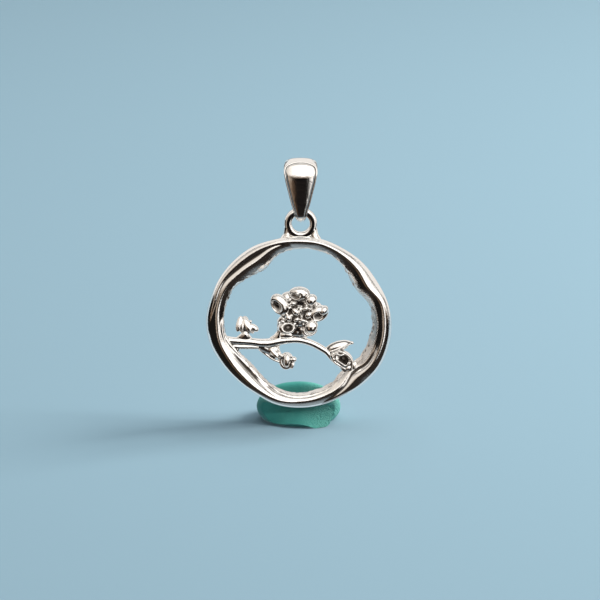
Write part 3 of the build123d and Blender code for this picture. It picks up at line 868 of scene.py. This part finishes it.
bail_points = np.stack(
    [EYE_ACROSS + bail_x, loop_y + bail_out * normal_y, loop_z + bail_out * normal_z], axis=-1
)
bail_band = make_piece("bail_band", bail_points, grid_faces(*bail_x.shape)[:, ::-1])
mark_recesses(bail_band, passes=12)
bail_band.data.materials.append(polished_silver("bail_silver", dark_from=0.002, dark_to=0.012))
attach(bail_band, "bail")
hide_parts("bail")

# The putty is a hand-rolled lump of teal modelling putty, pressed flat on the table. The hoop's
# foot is pushed into it.
PUTTY_WIDTH = 10.4
PUTTY_DEPTH = 8.4
PUTTY_TOP = 4.5
PUTTY_MIDDLE = 1.6
PUTTY_SETBACK = 1.3
PUTTY_AROUND = 420
TOP_STEPS = 110
UNDER_STEPS = 34
FLOOR_STEPS = 12
FOOT_SHARE = 0.835
# Kneading leaves soft lumps, a fold on the right, counted in degrees from the right side towards
# the back, and a torn, grainy skin beside it. Where the lump is left smooth it has shrunk a bit.
LUMPS_OUT = 0.022
LUMPS_UP = 0.07
FOLD_AT = 330
FOLD_HALF = 3.0
FOLD_DEEP = 0.150
FOLD_SWAY = 3
FOLD_WAVES = 2.2
TORN_AT = 312
TORN_REACH = 26
TEARS_OUT = 0.045
SHRUNK = 0.012
SETTLED = 0.05
# Near the floor and about the top's middle the lumps and folds die out.
LUMPS_FULL_UP = 0.4
LUMPS_FULL_OUT = 0.5
# The putty lies under the hoop by BED_GAP. Behind the hoop it domes up, and in front of it the
# hoop has pushed it down to a slope, which is steeper to both sides.
BED_GAP = 0.03
BACK_GAP = 0.06
DOME_LONG = 1.7
DOME_HIGH = 3.1
SLOPE_FROM = -0.15
SLOPE_LONG = 3
SLOPE_DOWN = 0.50
SLOPE_TO_SIDES = 0.07
BLEND = 3
PUTTY_OUTLINE = (
    # angle from the right side, counted towards the back, and reach as a share of the ellipse
    (0, 1.000),
    (30, 0.985),
    (60, 0.990),
    (90, 1.000),
    (120, 0.990),
    (150, 0.990),
    (180, 1.000),
    (210, 0.975),
    (240, 0.930),
    (270, 0.970),
    (300, 1.060),
    (330, 0.955),
)
putty_angles = np.arange(PUTTY_AROUND) * 360 / PUTTY_AROUND
putty_turn = np.radians(putty_angles)[:, None]
# From the top's middle the grid runs over the side, under it and along the floor to the middle.
over_top = np.linspace(0, np.pi / 2, TOP_STEPS)[None, :]
under = np.linspace(0, 1, UNDER_STEPS)[1:][None, :]
on_floor = np.linspace(1, 0, FLOOR_STEPS)[1:][None, :]
tucked_in = np.sqrt(1 - (under * np.sqrt(1 - FOOT_SHARE**2)) ** 2)
side_share = np.hstack([np.sin(over_top), tucked_in, FOOT_SHARE * on_floor])
upper_side = PUTTY_MIDDLE + (PUTTY_TOP - PUTTY_MIDDLE) * np.cos(over_top)
putty_high = np.hstack([upper_side, PUTTY_MIDDLE * (1 - under), 0 * on_floor])
lumps = rolling_noise(PUTTY_AROUND, side_share.shape[1], 26, 16, seed=31)
tears = rolling_noise(PUTTY_AROUND, side_share.shape[1], 2.4, 2.0, seed=8)
off_floor = np.clip(putty_high / LUMPS_FULL_UP, 0, 1) * np.clip(side_share / LUMPS_FULL_OUT, 0, 1)
from_fold = putty_angles[:, None] - FOLD_AT + FOLD_SWAY * np.sin(FOLD_WAVES * putty_high)
torn = TEARS_OUT * bell(putty_angles[:, None] - TORN_AT, TORN_REACH) * tears
push = off_floor * (LUMPS_OUT * lumps - FOLD_DEEP * bell(from_fold, FOLD_HALF) + torn - SHRUNK)
putty_reach = side_share * (smooth_rows(PUTTY_OUTLINE, putty_angles) + push)
putty_x = PUTTY_WIDTH / 2 * putty_reach * np.cos(putty_turn)
putty_y = PUTTY_SETBACK + PUTTY_DEPTH / 2 * putty_reach * np.sin(putty_turn)
putty_z = putty_high + off_floor * (LUMPS_UP * lumps - SETTLED)
hoop_foot = HOOP_Z - np.sqrt((OUTER_AT_FOOT * HOOP_RADIUS) ** 2 - putty_x**2)
behind = np.clip((putty_y - BACK_Y - BACK_GAP) / DOME_LONG, 0, 1)
dome = DOME_HIGH * np.sqrt(1 - (1 - behind) ** 2)
in_front = np.clip(SLOPE_FROM - putty_y, 0, SLOPE_LONG)
bed = hoop_foot - BED_GAP + dome - (SLOPE_DOWN + SLOPE_TO_SIDES * putty_x**2) * in_front
pressed = -np.logaddexp(-BLEND * putty_z, -BLEND * bed) / BLEND
putty_z = np.maximum(np.where(putty_high > 0, pressed, 0), 0)
putty_points = np.stack([putty_x, putty_y, putty_z], axis=-1)
putty_faces = grid_faces(*putty_z.shape, close_columns=False)[:, ::-1]
putty_lump = make_piece("putty_lump", putty_points, putty_faces)
putty_lump.visible_glossy = False

TEAL_DARK = (0.012, 0.195, 0.172, 1)
TEAL_LIGHT = (0.085, 0.450, 0.390, 1)
# Pale stretched teal, also laid on as painted light on the lit right side.
TEAL_STRETCHED_AND_LIT = (0.38, 0.90, 0.77, 1)
PATCHES_PER_METRE = 420
TORN_TO = 4.0 * mm
GRAINY = 0.10
GRAINY_AND_LIT_WHERE_TORN = 0.85
GRAIN_DEPTH = 0.40 * mm
GRAINS_PER_METRE = 5200


def kneaded_putty():
    """Teal modelling putty: a soft sheen, a colour that wavers with handling, and a paler, grainy
    skin on the torn side, from the middle to TORN_TO on its right. The paling there is partly the
    torn skin's own colour and partly painted light on the lit right side."""
    material, tree, place = new_material("teal_putty")
    grains = noise(tree, place, GRAINS_PER_METRE, detail=3)
    to_right = add_node(tree, "ShaderNodeSeparateXYZ", {"Vector": place})["X"]
    torn_and_lit_side = map_range(tree, to_right, 0.0, TORN_TO, GRAINY, GRAINY_AND_LIT_WHERE_TORN)
    # Paler grain towards the right: partly the torn skin's colour, partly painted light on the lit
    # side.
    paler = add_node(tree, "ShaderNodeMath", {0: torn_and_lit_side, 1: grains}, operation="MULTIPLY")["Value"]
    teal = mix(tree, noise(tree, place, PATCHES_PER_METRE, detail=5), TEAL_DARK, TEAL_LIGHT)
    bumps = {"Height": grains, "Strength": torn_and_lit_side, "Distance": GRAIN_DEPTH}
    surface = {
        "Base Color": mix(tree, paler, teal, TEAL_STRETCHED_AND_LIT),
        "Roughness": 0.58,
        "Specular IOR Level": 0.30,
        "Normal": add_node(tree, "ShaderNodeBump", bumps)["Normal"],
    }
    fill(tree, tree.nodes["Principled BSDF"], surface)
    return material


putty_lump.data.materials.append(kneaded_putty())
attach(putty_lump, "pendant")
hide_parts("putty_stand")

# The studio: a plain pale floor, a key lamp high on the right, a softer one overhead, and
# surroundings that only the silver sees. The camera stands at the photograph's angle.
FOCUS = Vector((0.12 * mm, 0, 15.5 * mm))
CAMERA_TILT = np.radians(16.5)
CAMERA_DISTANCE = 404 * mm
camera = bpy.data.objects.new("camera", bpy.data.cameras.new("camera"))
camera.data.lens = 200
camera.data.sensor_width = 36
camera.data.clip_start = 0.01
camera.location = FOCUS + CAMERA_DISTANCE * Vector((0, -np.cos(CAMERA_TILT), np.sin(CAMERA_TILT)))
camera.rotation_euler = (np.pi / 2 - CAMERA_TILT, 0, 0)
bpy.context.scene.collection.objects.link(camera)
bpy.context.scene.camera = camera

FLOOR_HALF = 4000
FLOOR_BLUE = (0.29, 0.44, 0.53, 1)
floor_corners = np.array([[-1, -1, 0], [1, -1, 0], [1, 1, 0], [-1, 1, 0]]) * FLOOR_HALF
floor = make_piece("floor", floor_corners, np.array([[0, 1, 2, 3]]))
floor.visible_glossy = False
floor_paint = bpy.data.materials.new("floor_paint")
floor_paint.use_nodes = True
floor_shader = floor_paint.node_tree.nodes["Principled BSDF"]
fill(floor_paint.node_tree, floor_shader, {"Base Color": FLOOR_BLUE, "Roughness": 0.8})
floor.data.materials.append(floor_paint)

LAMPS = (
    # name, place and size in metres, power in watts, colour
    ("key", (0.46, 0.09, 0.42), 0.32, 5.0, (1.0, 0.97, 0.93)),
    ("overhead", (0.02, 0.12, 0.52), 0.50, 1.2, (0.95, 0.98, 1.0)),
)
for name, place, size, power, colour in LAMPS:
    light = bpy.data.lights.new(name, "AREA")
    light.shape = "SQUARE"
    light.size = size
    light.energy = power
    light.color = colour
    lamp = bpy.data.objects.new(name, light)
    lamp.location = place
    lamp.visible_glossy = False
    lamp.rotation_euler = (FOCUS - Vector(place)).to_track_quat("-Z", "Y").to_euler()
    bpy.context.scene.collection.objects.link(lamp)

# What the silver mirrors, from the side that is looked at: bright cards above, dark below, a
# thin dark gap between front and rear, and the pale floor low at the back.
WHITE_CARD = (1.6, 1.56, 1.50, 1)
CREAM_CARD = (0.86, 0.79, 0.71, 1)
CARD_EDGE = (0.30, 0.22, 0.16, 1)
GREY_TOP = (0.56, 0.53, 0.50, 1)
REAR_CARD = (0.94, 0.90, 0.86, 1)
DARK_GAP = (0.03, 0.026, 0.024, 1)
DARK_FRONT = (0.007, 0.006, 0.006, 1)
DUSK_BELOW = (0.026, 0.021, 0.018, 1)
GREY_FLOOR = (0.28, 0.33, 0.36, 1)
PALE_FLOOR = (0.56, 0.70, 0.78, 1)
DARK_LEFT = (0.010, 0.009, 0.008, 1)
AMBIENT = (0.072, 0.093, 0.107, 1)
GLOWS = (
    # towards x, y and z, reach and fade in degrees, colour
    (-0.46, -0.84, -0.42, 10, 9, (0.15, 0.092, 0.055, 1)),  # brown, low on the left
    (-0.52, -0.84, -0.20, 11, 8, (0.44, 0.36, 0.29, 1)),  # beige, above it
    (0.512, -0.819, -0.259, 13, 4, (1.15, 1.11, 1.06, 1)),  # white, low on the right
    (0, 0.97, -0.20, 22, 12, (0.30, 0.35, 0.38, 1)),  # grey, far behind
)
world = bpy.data.worlds.new("studio")
bpy.context.scene.world = world
world.use_nodes = True
tree = world.node_tree
look = add_node(tree, "ShaderNodeTexCoord", {})["Generated"]


def along(x, y, z):
    """How far the looked-at direction points along an axis, from -1 to 1."""
    inputs = {0: look, 1: Vector((x, y, z)).normalized()}
    return add_node(tree, "ShaderNodeVectorMath", inputs, operation="DOT_PRODUCT")["Value"]


def over(below, colour, value, low, high):
    """One colour that comes in smoothly over another as a value goes from low to high."""
    return mix(tree, map_range(tree, value, low, high, interpolation="SMOOTHSTEP"), below, colour)


tilted_up = along(0.12, 0, 1.0)
downwards = along(0, 0, -1)
rearwards = along(0, 0.989, 0.148)
from_gap = add_node(tree, "ShaderNodeMath", {0: rearwards}, operation="ABSOLUTE")["Value"]
above = over(CREAM_CARD, WHITE_CARD, along(1, 0, 0), -0.55, 0.05)
above = over(CARD_EDGE, above, tilted_up, -0.08, 0.12)
above = over(above, GREY_TOP, rearwards, -0.44, -0.16)
above = over(above, REAR_CARD, rearwards, -0.02, 0.02)
above = over(DARK_GAP, above, from_gap, 0.02, 0.05)
below = over(DARK_FRONT, DUSK_BELOW, downwards, 0.30, 0.62)
below = over(below, GREY_FLOOR, downwards, 0.83, 0.95)
below = over(below, PALE_FLOOR, along(0, 1, 0), 0.0, 0.14)
below = over(below, DARK_LEFT, along(-0.9, -0.44, 0), 0.60, 0.72)
studio = over(below, above, tilted_up, -0.13, -0.06)
for x, y, z, reach, fade, colour in GLOWS:
    outside, inside = np.cos(np.radians((reach + fade, max(reach - fade, 0))))
    studio = over(studio, colour, along(x, y, z), outside, inside)
glossy = add_node(tree, "ShaderNodeLightPath", {})["Is Glossy Ray"]
fill(tree, tree.nodes["Background"], {"Color": mix(tree, glossy, AMBIENT, studio)})
bpy.context.scene.view_settings.view_transform = "Standard"
